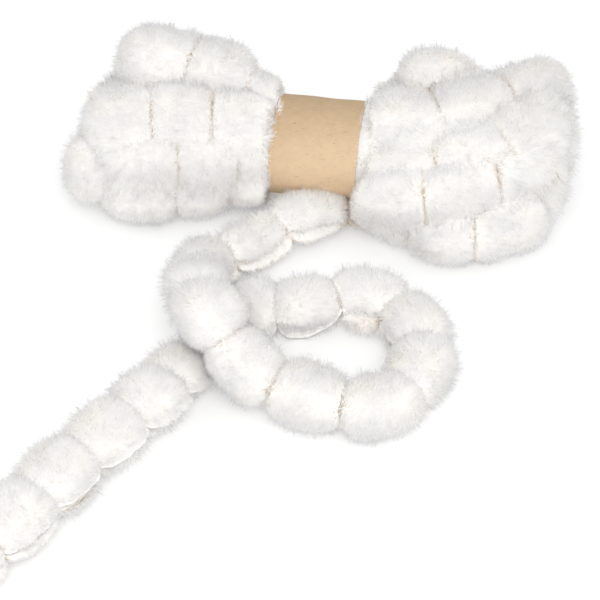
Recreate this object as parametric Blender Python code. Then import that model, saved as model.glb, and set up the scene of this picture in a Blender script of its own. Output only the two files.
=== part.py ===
"""A chain of soft faux-fur puffs: a banded two-lobed hank, its loose end and a plain paper band.

Sizes in the tables are millimetres and are turned to metres at the end. +Z is up, the table is z = 0.
"""
import math
from collections import namedtuple

import bmesh
import bpy
from mathutils import Vector

MM = 0.001

# The folded strip: pitch of its pinches and the puffs between them, pile included.
PITCH = 39.0
PUFF_WIDTH = 42.0
PUFF_THICK = 34.0
PINCH_WIDTH = 0.72      # share of the puff's width left at a pinch
PINCH_THICK = 0.36      # share of its thickness left there
OVERLAP = 1.5           # how far two puffs of the hank run into each other at a pinch

# Offset that puts the middle of the whole part's box on the origin.
SHIFT_X = 8.001
SHIFT_Y = 21.670

# Waist of the hank and the paper band round it.
WAIST_X, WAIST_Y, WAIST_Z = 12.0, 106.0, 31.5
WAIST_TURN = math.radians(-9.0)
WAIST_DEEP = 33.0
WAIST_HIGH = 26.5
BAND_LONG = 54.0
BAND_WALL = 0.9
BAND_GAP = 0.4

# Middles of the two lobes, which the puffs face away from.
Lobe = namedtuple("Lobe", "x y z")
LEFT_LOBE = Lobe(-88.0, 116.0, 38.0)
RIGHT_LOBE = Lobe(104.0, 95.0, 38.0)

# One row for each puff of the hank, by strand and from the left turn to the right turn.
# size scales the puff; end marks a puff on a turn, which faces along the hank.
# long is its length along the strand, where it isn't the common pitch.
Puff = namedtuple("Puff", "x y z size end long", defaults=(39.0,))
STRANDS = {
    "top_back": [
        Puff(-99, 166, 36, 0.92, 1, 34),
        Puff(-88, 156, 64, 1.14, 0),
        Puff(-48, 146, 63, 1.08, 0),
        Puff(-25, 133, 52, 0.82, 0, 26),
        Puff(48, 130, 42, 0.80, 0),
        Puff(86, 147, 54, 0.98, 0),
        Puff(121, 143, 30, 0.90, 0),
    ],
    "top": [
        Puff(-110, 99, 52, 1.04, 0),
        Puff(-73, 100, 56, 1.08, 0),
        Puff(-34, 96, 53, 1.06, 0, 38),
        Puff(61, 102, 54, 1.16, 0),
        Puff(102, 107, 57, 1.14, 0),
        Puff(143, 134, 49, 1.10, 0),
    ],
    "front": [
        Puff(-128, 89, 26, 0.96, 1, 31),
        Puff(-95, 80, 36, 1.02, 0),
        Puff(-56, 81, 37, 1.02, 0),
        Puff(-28, 84, 38, 0.84, 0, 24),
        Puff(61, 71, 46, 1.06, 0),
        Puff(101, 68, 53, 1.08, 0),
        Puff(141, 92, 51, 1.10, 0),
        Puff(159, 104, 34, 0.82, 1),
    ],
    "low_front": [
        Puff(-97, 75, 15, 0.96, 0),
        Puff(-61, 80, 15, 0.94, 0),
        Puff(-32, 85, 18, 0.86, 0, 26),
        Puff(55, 52, 31, 1.00, 0),
        Puff(95, 52, 42, 0.98, 0),
        Puff(134, 70, 39, 0.98, 0),
        Puff(148, 82, 18, 0.90, 1),
    ],
    "foot_front": [
        Puff(-100, 110, 15, 0.95, 0),
        Puff(-62, 110, 15, 0.95, 0),
        Puff(54, 68, 15, 0.80, 0),
        Puff(86, 41, 15, 0.98, 0),
        Puff(124, 48, 15, 0.98, 0),
    ],
    "foot_middle": [
        Puff(-104, 142, 15, 0.95, 0),
        Puff(-65, 138, 15, 0.95, 0),
        Puff(-33, 122, 19, 0.80, 0, 28),
        Puff(56, 92, 15, 0.85, 0),
        Puff(92, 78, 15, 0.95, 0),
        Puff(128, 86, 15, 0.92, 0),
    ],
    "foot_back": [
        Puff(-88, 166, 15, 0.95, 0),
        Puff(-52, 156, 15, 0.95, 0),
        Puff(53, 120, 15, 0.85, 0),
        Puff(90, 116, 15, 0.95, 0),
        Puff(128, 120, 15, 0.95, 0),
    ],
    "middle": [
        Puff(-112, 144, 28, 0.88, 1, 34),
        Puff(-118, 118, 34, 0.92, 1, 34),
        Puff(-104, 128, 45, 0.95, 0),
        Puff(-66, 126, 47, 0.98, 0),
        Puff(-35, 117, 45, 0.86, 0, 32),
        Puff(64, 124, 41, 0.88, 0),
        Puff(106, 130, 44, 0.94, 0),
    ],
    "back": [
        Puff(-68, 163, 40, 0.92, 0),
        Puff(-34, 145, 36, 0.85, 0, 32),
        Puff(60, 136, 24, 0.85, 0),
        Puff(98, 146, 27, 0.95, 0),
        Puff(136, 140, 25, 0.92, 0),
        Puff(157, 130, 30, 0.78, 1),
    ],
}

# The loose end, one row for each pinch-to-pinch middle from the hank to its cut end.
# width and thick scale the puff there, and under is how far its lower layer reaches past the upper one.
Stop = namedtuple("Stop", "x y z width thick under", defaults=(0.0,))
LOOSE_STOPS = [
    Stop(48, 70, 7, 0.46, 0.42),
    Stop(5, 53, 10, 0.92, 0.66, 0.15),
    Stop(-29, 36, 10.5, 0.88, 0.70, 0.45),
    Stop(-56, 10, 18, 0.94, 0.88, 0.10),
    Stop(-60, -22, 33, 1.00, 0.92),
    Stop(-51, -57, 44, 1.02, 0.92),
    Stop(-30, -80, 25, 1.00, 0.96),
    Stop(4, -95, 16, 1.08, 1.04),
    Stop(44, -103, 16, 1.06, 1.04),
    Stop(68, -74, 16, 1.00, 1.04),
    Stop(66, -40, 15.5, 0.98, 1.00),
    Stop(40, -14, 13.5, 0.90, 0.86, 0.40),
    Stop(2, -22, 13.5, 0.98, 0.86),
    Stop(-26, -24, 11, 0.92, 0.70),
    Stop(-49, -42, 9.5, 0.92, 0.62),
    Stop(-69, -73, 12, 0.98, 0.78),
    Stop(-84, -98, 15.5, 1.04, 1.00),
    Stop(-107, -127, 15.5, 1.04, 1.00),
    Stop(-131, -157, 15.5, 1.04, 1.00),
    Stop(-151, -188, 15.5, 1.04, 1.00, 0.25),
    Stop(-173, -218, 14.5, 0.94, 0.92),
]

# Half sections of the strip, once round. across runs to the open cut edge, up is the thickness.
Rim = namedtuple("Rim", "across up")
FOLDED_SECTION = [
    Rim(-1.00, 0.00),
    Rim(-0.93, 0.45),
    Rim(-0.68, 0.84),
    Rim(-0.22, 1.00),
    Rim(0.30, 0.93),
    Rim(0.74, 0.66),
    Rim(1.00, 0.30),
    Rim(0.70, 0.00),
    Rim(1.00, -0.30),
    Rim(0.74, -0.66),
    Rim(0.30, -0.93),
    Rim(-0.22, -1.00),
    Rim(-0.68, -0.84),
    Rim(-0.93, -0.45),
]
PUFF_SIDES = 14

# Places along a puff where a section is cut, from one pinch, -1, to the next, 1.
PUFF_STEPS = (-1.0, -0.84, -0.5, 0.0, 0.5, 0.84, 1.0)


def clear_scene():
    for obj in list(bpy.data.objects):
        bpy.data.objects.remove(obj)


def material(name, colour, rough):
    made = bpy.data.materials.new(name)
    made.use_nodes = True
    shader = made.node_tree.nodes["Principled BSDF"]
    shader.inputs["Base Color"].default_value = (*colour, 1.0)
    shader.inputs["Roughness"].default_value = rough
    return made


def swell(along, pinched):
    """The puff's size at a place along it: 1 in its middle, the pinched share at both ends."""
    dome = (1.0 - abs(along) ** 2.6) ** 0.55
    return pinched + (1.0 - pinched) * dome


def box_round(turns, sides, power):
    """Across and up at one of the sides of a rounded box, at a share of one turn."""
    angle = 2.0 * math.pi * turns / sides
    across = math.copysign(abs(math.cos(angle)) ** power, math.cos(angle))
    up = math.copysign(abs(math.sin(angle)) ** power, math.sin(angle))
    return across, up


def new_object(name, points, faces):
    mesh = bpy.data.meshes.new(name)
    mesh.from_pydata([tuple(point * MM) for point in points], [], faces)
    mesh.update()
    made = bpy.data.objects.new(name, mesh)
    bpy.context.scene.collection.objects.link(made)
    face_outwards(made)
    return made


def face_outwards(obj):
    shape = bmesh.new()
    shape.from_mesh(obj.data)
    bmesh.ops.recalc_face_normals(shape, faces=shape.faces)
    if shape.calc_volume(signed=True) < 0.0:
        bmesh.ops.reverse_faces(shape, faces=shape.faces)
    shape.to_mesh(obj.data)
    shape.free()


def ring_faces(rings, sides):
    """Faces of a skin over closed rings, with a cap on the first and the last."""
    faces = []
    for ring in range(rings - 1):
        for side in range(sides):
            following = (side + 1) % sides
            low = ring * sides
            high = low + sides
            faces.append((low + side, low + following, high + following, high + side))
    faces.append(tuple(range(sides)))
    faces.append(tuple(range((rings - 1) * sides, rings * sides)))
    return faces


def frame_at(along, out):
    """Unit axes of a puff: along it, across it, and up out of its face."""
    along = along.normalized()
    up = (out - along * out.dot(along)).normalized()
    across = along.cross(up)
    return along, across, up


def uneven(place):
    """A little more or less fur here and there, so that no two puffs are alike."""
    wave = math.sin(place.x * 0.21 + 1.3) + math.sin(place.y * 0.19 + place.z * 0.13)
    return 1.0 + 0.022 * wave + 0.012 * math.sin(place.z * 0.31 + place.x * 0.17)


def puff_solid(name, middle, along, out, size, length):
    along, across, up = frame_at(along, out)
    points = []
    for step in PUFF_STEPS:
        wide = PUFF_WIDTH / 2.0 * size * swell(step, PINCH_WIDTH)
        thick = PUFF_THICK / 2.0 * size * swell(step, PINCH_THICK)
        centre = middle + along * (step * (length / 2.0 + OVERLAP))
        for side in range(PUFF_SIDES):
            sideways, upwards = box_round(side, PUFF_SIDES, 0.78)
            reach = across * (sideways * wide) + up * (upwards * thick)
            points.append(centre + reach * uneven(centre + reach))
    return new_object(name, points, ring_faces(len(PUFF_STEPS), PUFF_SIDES))


def facing(puff, lobe):
    """Outward direction of a puff: away from the lobe's long middle, or along it on a turn."""
    away = Vector((0.0, puff.y - lobe.y, (puff.z - lobe.z) * 1.6))
    if puff.end:
        away = Vector((puff.x - lobe.x, (puff.y - lobe.y) * 0.3, (puff.z - lobe.z) * 0.3))
    return away


def strand_puffs(name, puffs):
    made = []
    for index, puff in enumerate(puffs):
        before = puffs[max(index - 1, 0)]
        after = puffs[min(index + 1, len(puffs) - 1)]
        along = Vector((after.x - before.x, after.y - before.y, after.z - before.z))
        lobe = LEFT_LOBE if puff.x < WAIST_X else RIGHT_LOBE
        if puff.end:
            along = Vector((0.0, 0.45, 1.0))
        middle = Vector((puff.x, puff.y, puff.z))
        made.append(puff_solid(f"{name}_{index}", middle, along, facing(puff, lobe), puff.size, puff.long))
    return made


def oval_core(name, stations):
    """A closed body of upright ovals along the hank: each station is x, y, z, half depth and half height."""
    sides = 16
    points = []
    for x, y, z, deep, high in stations:
        for side in range(sides):
            sideways, upwards = box_round(side, sides, 1.0)
            points.append(Vector((x, y + sideways * deep, z + upwards * high)))
    return new_object(name, points, ring_faces(len(stations), sides))


def waist_stations():
    """The squeezed middle of the hank, flaring into the inside of both lobes."""
    return [
        (-118.0, 122.0, 34.0, 26.0, 18.0),
        (-96.0, 118.0, 36.0, 42.0, 27.0),
        (-58.0, 116.0, 36.0, 42.0, 27.0),
        (-30.0, 110.0, 33.0, 33.0, 25.0),
        (-16.0, WAIST_Y + 4.2, WAIST_Z, WAIST_DEEP, WAIST_HIGH),
        (38.0, WAIST_Y - 4.2, WAIST_Z, WAIST_DEEP, WAIST_HIGH),
        (54.0, 100.0, 34.0, 36.0, 26.0),
        (84.0, 94.0, 37.0, 44.0, 28.0),
        (122.0, 94.0, 37.0, 42.0, 27.0),
        (148.0, 100.0, 34.0, 28.0, 18.0),
    ]


def cutter_box(name, low, high):
    corners = [Vector((x, y, z)) for x in (low[0], high[0]) for y in (low[1], high[1]) for z in (low[2], high[2])]
    faces = [(0, 1, 3, 2), (4, 6, 7, 5), (0, 4, 5, 1), (2, 3, 7, 6), (0, 2, 6, 4), (1, 5, 7, 3)]
    made = new_object(name, corners, faces)
    made.hide_render = True
    made.display_type = "WIRE"
    return made


def combine(base, others, operation):
    """One exact Boolean of the base with every other object, put into the base's own mesh."""
    group = bpy.data.collections.new(f"{base.name}_{operation.lower()}")
    for other in others:
        group.objects.link(other)
    change = base.modifiers.new(operation.lower(), "BOOLEAN")
    change.operation = operation
    change.solver = "EXACT"
    change.operand_type = "COLLECTION"
    change.collection = group
    bpy.context.view_layer.update()
    graph = bpy.context.evaluated_depsgraph_get()
    result = bpy.data.meshes.new_from_object(base.evaluated_get(graph))
    base.modifiers.clear()
    base.data = result
    bpy.data.collections.remove(group)
    for other in others:
        bpy.data.objects.remove(other)


def keep_largest(obj):
    """Only the outer skin: what a union leaves closed in inside it goes."""
    shape = bmesh.new()
    shape.from_mesh(obj.data)
    bmesh.ops.remove_doubles(shape, verts=shape.verts, dist=0.02 * MM)
    unseen = set(shape.faces)
    largest = set()
    while unseen:
        island = {unseen.pop()}
        edge = list(island)
        while edge:
            face = edge.pop()
            for side in face.edges:
                for other in side.link_faces:
                    if other in unseen:
                        unseen.discard(other)
                        island.add(other)
                        edge.append(other)
        if len(island) > len(largest):
            largest = island
    bmesh.ops.delete(shape, geom=[face for face in shape.faces if face not in largest], context="FACES")
    shape.to_mesh(obj.data)
    shape.free()


def smooth_route(stops, per_stop):
    """A smooth curve through the stops, with every column read along it."""
    route = []
    columns = [list(stop) for stop in stops]
    for index in range(len(stops) - 1):
        before = columns[max(index - 1, 0)]
        here, after = columns[index], columns[index + 1]
        beyond = columns[min(index + 2, len(stops) - 1)]
        for step in range(per_stop):
            t = step / per_stop
            route.append([
                0.5 * (2 * b + (c - a) * t + (2 * a - 5 * b + 4 * c - d) * t * t + (3 * b - a - 3 * c + d) * t ** 3)
                for a, b, c, d in zip(before, here, after, beyond)
            ])
    route.append(columns[-1])
    return route


def loose_sections(extra):
    """Middle, axes and half sizes of every section of the loose end, a pinch to each side of each stop."""
    per_stop = 12
    route = smooth_route(LOOSE_STOPS, per_stop)
    sections = []
    count = len(LOOSE_STOPS)
    for stop in range(count):
        for step in PUFF_STEPS[:-1] if stop < count - 1 else PUFF_STEPS:
            place = min(max((stop + step / 2.0) * per_stop, 0.0), len(route) - 1.0)
            if stop == 0 and step < 0.0 or stop == count - 1 and step > 0.0:
                continue
            low = min(int(place), len(route) - 2)
            share = place - low
            x, y, z, width, thick, under = [a + (b - a) * share for a, b in zip(route[low], route[low + 1])]
            ahead, behind = route[min(low + 2, len(route) - 1)], route[max(low - 1, 0)]
            along = Vector((ahead[0] - behind[0], ahead[1] - behind[1], ahead[2] - behind[2]))
            wide = PUFF_WIDTH / 2.0 * width * swell(step, PINCH_WIDTH) + extra
            deep = PUFF_THICK / 2.0 * thick * swell(step, PINCH_THICK) + extra
            sections.append((Vector((x, y, z)), along, wide, deep, max(under, 0.0)))
    return sections


def loose_mesh(name, sections, section_rim):
    points = []
    for middle, along, wide, deep, under in sections:
        along, across, up = frame_at(along, Vector((0.0, 0.0, 1.0)))
        for rim in section_rim:
            reach = rim.across * wide
            if rim.across > 0.5 and rim.up < 0.0:
                reach *= 1.0 + under
            out = up * (rim.up * deep) - across * reach
            point = middle + out * uneven(middle + out)
            point.z = max(point.z, 0.0)
            points.append(point)
    return new_object(name, points, ring_faces(len(sections), len(section_rim)))


def build_loose_end(colour):
    made = loose_mesh("loose_end", loose_sections(0.0), FOLDED_SECTION)
    made.data.materials.append(colour)
    return made


def loose_bed():
    """The room that the hank's fur gives the first puffs of the loose end."""
    plain = [rim for rim in FOLDED_SECTION if rim.across != 0.70]
    sections = loose_sections(0.5)[:16]
    middle, along, wide, deep, under = sections[0]
    sections.insert(0, (middle - along.normalized() * 1.2, along, wide, deep, under))
    return loose_mesh("bed", sections, plain)


def band_room():
    """What the paper keeps clear of fur: a ring a little larger than the band."""
    return band_ring("room", BAND_LONG + 0.8, 0.0, 30.0)


def build_hank(colour):
    hank = oval_core("hank", waist_stations())
    puffs = []
    for name, strand in STRANDS.items():
        puffs += strand_puffs(name, strand)
    combine(hank, puffs, "UNION")
    floor = cutter_box("floor", (-300.0, -100.0, -60.0), (300.0, 300.0, 0.0))
    combine(hank, [floor], "DIFFERENCE")
    combine(hank, [loose_bed()], "DIFFERENCE")
    combine(hank, [band_room()], "DIFFERENCE")
    keep_largest(hank)
    hank.data.materials.clear()
    hank.data.materials.append(colour)
    return hank


def band_ring(name, long, inner, outer):
    """A closed ring round the waist: inner and outer are measured out from the squeezed fur."""
    sides = 40
    points = []
    for along, out in ((-0.5, inner), (0.5, inner), (0.5, outer), (-0.5, outer)):
        for side in range(sides):
            sideways, upwards = box_round(side, sides, 0.96)
            x = along * long
            y = sideways * (WAIST_DEEP + out)
            z = upwards * (WAIST_HIGH + out)
            points.append(Vector((
                WAIST_X + x * math.cos(WAIST_TURN) - y * math.sin(WAIST_TURN),
                WAIST_Y + x * math.sin(WAIST_TURN) + y * math.cos(WAIST_TURN),
                WAIST_Z + z,
            )))
    faces = []
    for ring in range(4):
        for side in range(sides):
            following = (side + 1) % sides
            low, high = ring * sides, (ring + 1) % 4 * sides
            faces.append((low + side, low + following, high + following, high + side))
    return new_object(name, points, faces)


def build_paper_band(colour):
    band = band_ring("paper_band", BAND_LONG, BAND_GAP, BAND_GAP + BAND_WALL)
    band.data.materials.append(colour)
    return band


def move_all(x, y):
    for obj in bpy.context.scene.objects:
        for corner in obj.data.vertices:
            corner.co.x += x * MM
            corner.co.y += y * MM


def build():
    clear_scene()
    build_hank(material("wound_faux_fur", (0.86, 0.85, 0.83), 0.95))
    build_loose_end(material("loose_faux_fur", (0.88, 0.87, 0.85), 0.95))
    build_paper_band(material("kraft_paper", (0.53, 0.37, 0.22), 0.8))
    move_all(SHIFT_X, SHIFT_Y)


build()
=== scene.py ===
import math

import bpy
import numpy as np
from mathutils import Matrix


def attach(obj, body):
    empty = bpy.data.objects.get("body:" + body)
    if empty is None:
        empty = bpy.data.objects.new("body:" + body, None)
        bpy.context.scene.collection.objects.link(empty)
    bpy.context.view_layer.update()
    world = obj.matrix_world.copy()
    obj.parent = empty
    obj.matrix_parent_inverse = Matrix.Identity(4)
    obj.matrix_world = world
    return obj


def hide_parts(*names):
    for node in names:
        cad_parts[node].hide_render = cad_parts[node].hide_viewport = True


# A chain of faux-fur puffs: a two-lobed hank in a kraft paper band, and its loose end in a loop.
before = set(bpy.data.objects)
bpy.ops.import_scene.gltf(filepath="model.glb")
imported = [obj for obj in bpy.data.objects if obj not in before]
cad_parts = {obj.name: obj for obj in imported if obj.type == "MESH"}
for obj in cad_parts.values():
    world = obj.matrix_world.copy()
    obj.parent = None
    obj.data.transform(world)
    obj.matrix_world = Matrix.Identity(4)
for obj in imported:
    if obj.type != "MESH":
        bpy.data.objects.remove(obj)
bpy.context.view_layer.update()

# Tables and shapes below are in millimetres, laid out round the loop. This puts them into the frame.
layoutToFrame = np.array([8.001, 21.670, 0.0])


def toFrame(points):
    return (np.asarray(points, float) + layoutToFrame) * 0.001


def toLinear(hexText):
    """An sRGB hex colour as linear red, green, blue and alpha."""
    rgb = [int(hexText[i : i + 2], 16) / 255 for i in (1, 3, 5)]
    return [c / 12.92 if c <= 0.04045 else ((c + 0.055) / 1.055) ** 2.4 for c in rgb] + [1.0]


def unit(vectors):
    return vectors / np.maximum(np.linalg.norm(vectors, axis=-1, keepdims=True), 1e-9)


# ---- camera ----
camera = {"aim": (0.008001, 0.021670, 0.0), "distance": 1.340, "elevation": 43.0, "lens": 135.0}


def addCamera():
    lens = bpy.data.cameras.new("camera")
    lens.lens = camera["lens"]
    lens.sensor_width = 36.0
    lens.clip_end = 20.0
    made = bpy.data.objects.new("camera", lens)
    bpy.context.scene.collection.objects.link(made)
    tilt = math.radians(camera["elevation"])
    aim = camera["aim"]
    made.location = (
        aim[0],
        aim[1] - camera["distance"] * math.cos(tilt),
        aim[2] + camera["distance"] * math.sin(tilt),
    )
    made.rotation_euler = (math.pi / 2 - tilt, 0.0, 0.0)
    bpy.context.scene.camera = made


addCamera()

# ---- materials ----


def addNode(tree, kind, settings=None, links=None):
    """One node, with its own settings and its inputs: a socket is linked and a value is set."""
    made = tree.nodes.new(kind)
    for name, value in (settings or {}).items():
        setattr(made, name, value)
    for name, value in (links or {}).items():
        socket = made.inputs[name]
        if isinstance(value, bpy.types.NodeSocket):
            tree.links.new(value, socket)
        else:
            socket.default_value = value
    return made


def addRamp(tree, source, stops, smooth=True):
    """A colour ramp with these (place, hex colour) stops."""
    made = addNode(tree, "ShaderNodeValToRGB", links={"Fac": source})
    made.color_ramp.interpolation = "EASE" if smooth else "LINEAR"
    made.color_ramp.elements[0].position, made.color_ramp.elements[1].position = stops[0][0], stops[-1][0]
    made.color_ramp.elements[0].color = toLinear(stops[0][1])
    made.color_ramp.elements[1].color = toLinear(stops[-1][1])
    for place, colour in stops[1:-1]:
        made.color_ramp.elements.new(place).color = toLinear(colour)
    return made.outputs["Color"]


def newMaterial(name):
    made = bpy.data.materials.new(name)
    made.use_nodes = True
    tree = made.node_tree
    return made, tree, tree.nodes["Principled BSDF"], tree.nodes["Material Output"]


# Acrylic pile fibre: dull white, lets light through. Its colour runs from root to tip and is picked by each blade's
# tone:
# the Deep colours, warmer and darker most at the root, are painted shade in gathers and creases (in a gather partly
# the backing's own beige); the Crowded colours are a painted highlight that lifts the shade between crowded puffs;
# the grey open tips and the darker guard tips are painted shade along the coat's outline.
pileLook = {
    # Deep root, middle and tip colours: painted shade in gathers and creases.
    "rootDeepShade": "#CFC0B0",
    "rootOpen": "#F5F2EE",
    "midDeepShade": "#E4D9CD",
    # Crowded middle and tip colours: painted highlight that lifts the shade in the creases between puffs.
    "midCreaseHighlight": "#FFFEFC",
    "midOpen": "#F5F3F0",
    "tipDeepShade": "#CDBFB0",
    "tipCreaseHighlight": "#FBFAF8",
    # Open tips: painted grey shade for the coat's outline; guard tips: darker painted shade for a spiky dark outline.
    "tipOpenShade": "#E2E3E7",
    "guardTipShade": "#A2A6B2",
}


def acrylicPile():
    made, tree, shader, out = newMaterial("acrylic_pile_fibre")
    where = addNode(tree, "ShaderNodeUVMap", {"uv_map": "OFBake"})
    parts = addNode(tree, "ShaderNodeSeparateXYZ", links={"Vector": where.outputs["UV"]})
    root = addRamp(tree, parts.outputs["Y"], [(0.05, pileLook["rootDeepShade"]), (0.72, pileLook["rootOpen"])])
    middle = addRamp(
        tree,
        parts.outputs["Y"],
        [(0.05, pileLook["midDeepShade"]), (0.38, pileLook["midCreaseHighlight"]), (0.85, pileLook["midOpen"])],
    )
    step = {"interpolation_type": "SMOOTHSTEP"}
    up = addNode(tree, "ShaderNodeMapRange", step, {"Value": parts.outputs["X"], "From Min": 0.05, "From Max": 0.5})
    end = addNode(tree, "ShaderNodeMapRange", step, {"Value": parts.outputs["X"], "From Min": 0.60, "From Max": 1.0})
    low = addNode(tree, "ShaderNodeMix", {"data_type": "RGBA"}, {0: up.outputs["Result"], 6: root, 7: middle})
    # Tip ramp: painted crease highlight, grey painted outline shade, and the darkest painted shade on guard tips.
    tip = addRamp(
        tree,
        parts.outputs["Y"],
        [
            (0.05, pileLook["tipDeepShade"]),
            (0.38, pileLook["tipCreaseHighlight"]),
            (0.85, pileLook["tipOpenShade"]),
            (0.97, pileLook["guardTipShade"]),
        ],
    )
    colour = addNode(tree, "ShaderNodeMix", {"data_type": "RGBA"}, {0: end.outputs["Result"], 7: tip})
    tree.links.new(low.outputs[2], colour.inputs[6])
    tree.links.new(colour.outputs[2], shader.inputs["Base Color"])
    shader.inputs["Roughness"].default_value = 0.85
    shader.inputs["Specular IOR Level"].default_value = 0.2
    through = addNode(tree, "ShaderNodeBsdfTranslucent", links={"Color": colour.outputs[2]})
    back = addNode(tree, "ShaderNodeNewGeometry").outputs["Backfacing"]
    both = addNode(tree, "ShaderNodeMixShader", links={0: back, 1: shader.outputs[0], 2: through.outputs[0]})
    tree.links.new(both.outputs[0], out.inputs["Surface"])
    return made


# Knitted backing under the pile: cream, with fine knit rows 1.1 mm apart, browner in its gathers, partly its own colour
# where it bunches and partly painted shade.
backingLook = {"open": "#F4EFE8", "gather": "#CDBDAC", "rows": 1.1}


def knittedBacking():
    made, tree, shader, out = newMaterial("knitted_backing")
    depth = addNode(tree, "ShaderNodeAttribute", {"attribute_name": "gather"})
    place = addNode(tree, "ShaderNodeTexCoord").outputs["Object"]
    blotch = addNode(tree, "ShaderNodeTexNoise", links={"Vector": place, "Scale": 140.0, "Detail": 3.0})
    spread = addNode(tree, "ShaderNodeMath", {"operation": "MULTIPLY_ADD"}, {0: blotch.outputs["Fac"], 1: 0.4, 2: depth.outputs["Fac"]})
    colour = addRamp(tree, spread.outputs["Value"], [(0.15, backingLook["open"]), (1.05, backingLook["gather"])])
    tree.links.new(colour, shader.inputs["Base Color"])
    shader.inputs["Roughness"].default_value = 0.9
    knit = addNode(tree, "ShaderNodeTexVoronoi", {"feature": "F1"}, {"Vector": place, "Scale": 1000.0 / backingLook["rows"]})
    bump = addNode(tree, "ShaderNodeBump", links={"Height": knit.outputs["Distance"], "Strength": 0.4, "Distance": 0.0004})
    tree.links.new(bump.outputs["Normal"], shader.inputs["Normal"])
    return made


# ---- surfaces ----


def ringFaces(rows, columns, start):
    """Faces of a skin over closed rings, with a cap on the first and the last ring."""
    low = (np.arange(rows - 1)[:, None] * columns + np.arange(columns)[None, :]) + start
    following = (np.arange(rows - 1)[:, None] * columns + (np.arange(columns)[None, :] + 1) % columns) + start
    quads = np.stack([low, following, following + columns, low + columns], axis=-1).reshape(-1, 4)
    caps = [list(range(start + columns - 1, start - 1, -1)), list(range(start + (rows - 1) * columns, start + rows * columns))]
    return quads.tolist() + caps


def outwardSign(rings):
    """1 if the quads of these rings face outwards, -1 if they face inwards, by the volume they enclose."""
    a, b = rings[:-1], np.roll(rings, -1, axis=1)[:-1]
    c, d = np.roll(rings, -1, axis=1)[1:], rings[1:]
    middle = rings.mean(axis=(0, 1))
    volume = (np.cross(a - middle, b - middle) * (c - middle)).sum() + (np.cross(a - middle, c - middle) * (d - middle)).sum()
    return 1.0 if volume > 0 else -1.0


def ringNormals(rings):
    """Smooth outward normals of closed rings, from their differences along and round."""
    along = np.gradient(rings, axis=0)
    around = np.roll(rings, -1, axis=1) - np.roll(rings, 1, axis=1)
    return unit(np.cross(around, along)) * outwardSign(rings)


def skinObject(name, grids, material, values=None):
    """One object from lists of closed rings (rows, columns, 3) in millimetres. values gives each point's gather, which
    browns the backing, partly as painted shade.
    """
    points, faces, start = [], [], 0
    for rings in grids:
        if outwardSign(rings) < 0:
            rings = rings[:, ::-1]
        points.append(rings.reshape(-1, 3))
        faces += ringFaces(rings.shape[0], rings.shape[1], start)
        start += rings.shape[0] * rings.shape[1]
    mesh = bpy.data.meshes.new(name)
    mesh.from_pydata(toFrame(np.concatenate(points)).tolist(), [], faces)
    mesh.polygons.foreach_set("use_smooth", np.ones(len(mesh.polygons), bool))
    if values is not None:
        flat = [v[:, ::-1].ravel() if outwardSign(g) < 0 else v.ravel() for g, v in zip(grids, values)]
        mesh.attributes.new("gather", "FLOAT", "POINT").data.foreach_set("value", np.concatenate(flat).astype(np.float32))
    mesh.materials.append(material)
    mesh.update()
    made = bpy.data.objects.new(name, mesh)
    bpy.context.scene.collection.objects.link(made)
    return made


def waves(points, wavelength, seed, count=7):
    """A soft random field: the mean of sines in seeded directions. Gives its value, and its slope as a vector."""
    rng = np.random.default_rng(seed)
    directions = unit(rng.normal(size=(count, 3)))
    numbers = directions * (2 * math.pi / (wavelength * rng.uniform(0.75, 1.35, (count, 1))))
    phases = rng.uniform(0, 2 * math.pi, count)
    angle = points @ numbers.T + phases
    value = np.sin(angle).mean(axis=1)
    slope = np.cos(angle) @ directions / count
    return value, slope


def onFloor(centre, reach, lowest=0.6):
    """centre + reach, with reach shortened where it would go under the floor, so that a foot rounds in to it."""
    drop = np.maximum(centre[..., 2:3] - lowest, 0.0)
    share = np.where(reach[..., 2:3] < -drop, drop / np.maximum(-reach[..., 2:3], 1e-6), 1.0)
    sideways = 0.45 + 0.55 * share
    placed = centre + reach * np.concatenate([sideways, sideways, share], axis=-1)
    placed[..., 2] = np.maximum(placed[..., 2], lowest)
    return placed


def uneven(points):
    """A little more or less fur here and there, as the CAD solids have it."""
    x, y, z = points[..., 0], points[..., 1], points[..., 2]
    wave = np.sin(x * 0.21 + 1.3) + np.sin(y * 0.19 + z * 0.13)
    return (1.0 + 0.022 * wave + 0.012 * np.sin(z * 0.31 + x * 0.17))[..., None]


def smoothStep(value, low, high):
    share = np.clip((value - low) / (high - low), 0.0, 1.0)
    return share * share * (3 - 2 * share)


def swell(along, pinched, fullness):
    """Size of a puff at a place along it: 1 in its middle, the pinched share at both ends, and closed past them. The
    higher its fullness, the closer to its pinch it stays full."""
    reach = np.abs(along)
    dome = np.clip(1.0 - np.minimum(reach, 1.0) ** fullness, 0.0, 1.0) ** 0.55
    size = pinched + (1.0 - pinched) * dome
    past = np.clip((reach - 1.0) / 0.13, 0.0, 1.0)
    return size * np.sqrt(np.clip(1.0 - past**2, 0.0004, 1.0))


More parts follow.
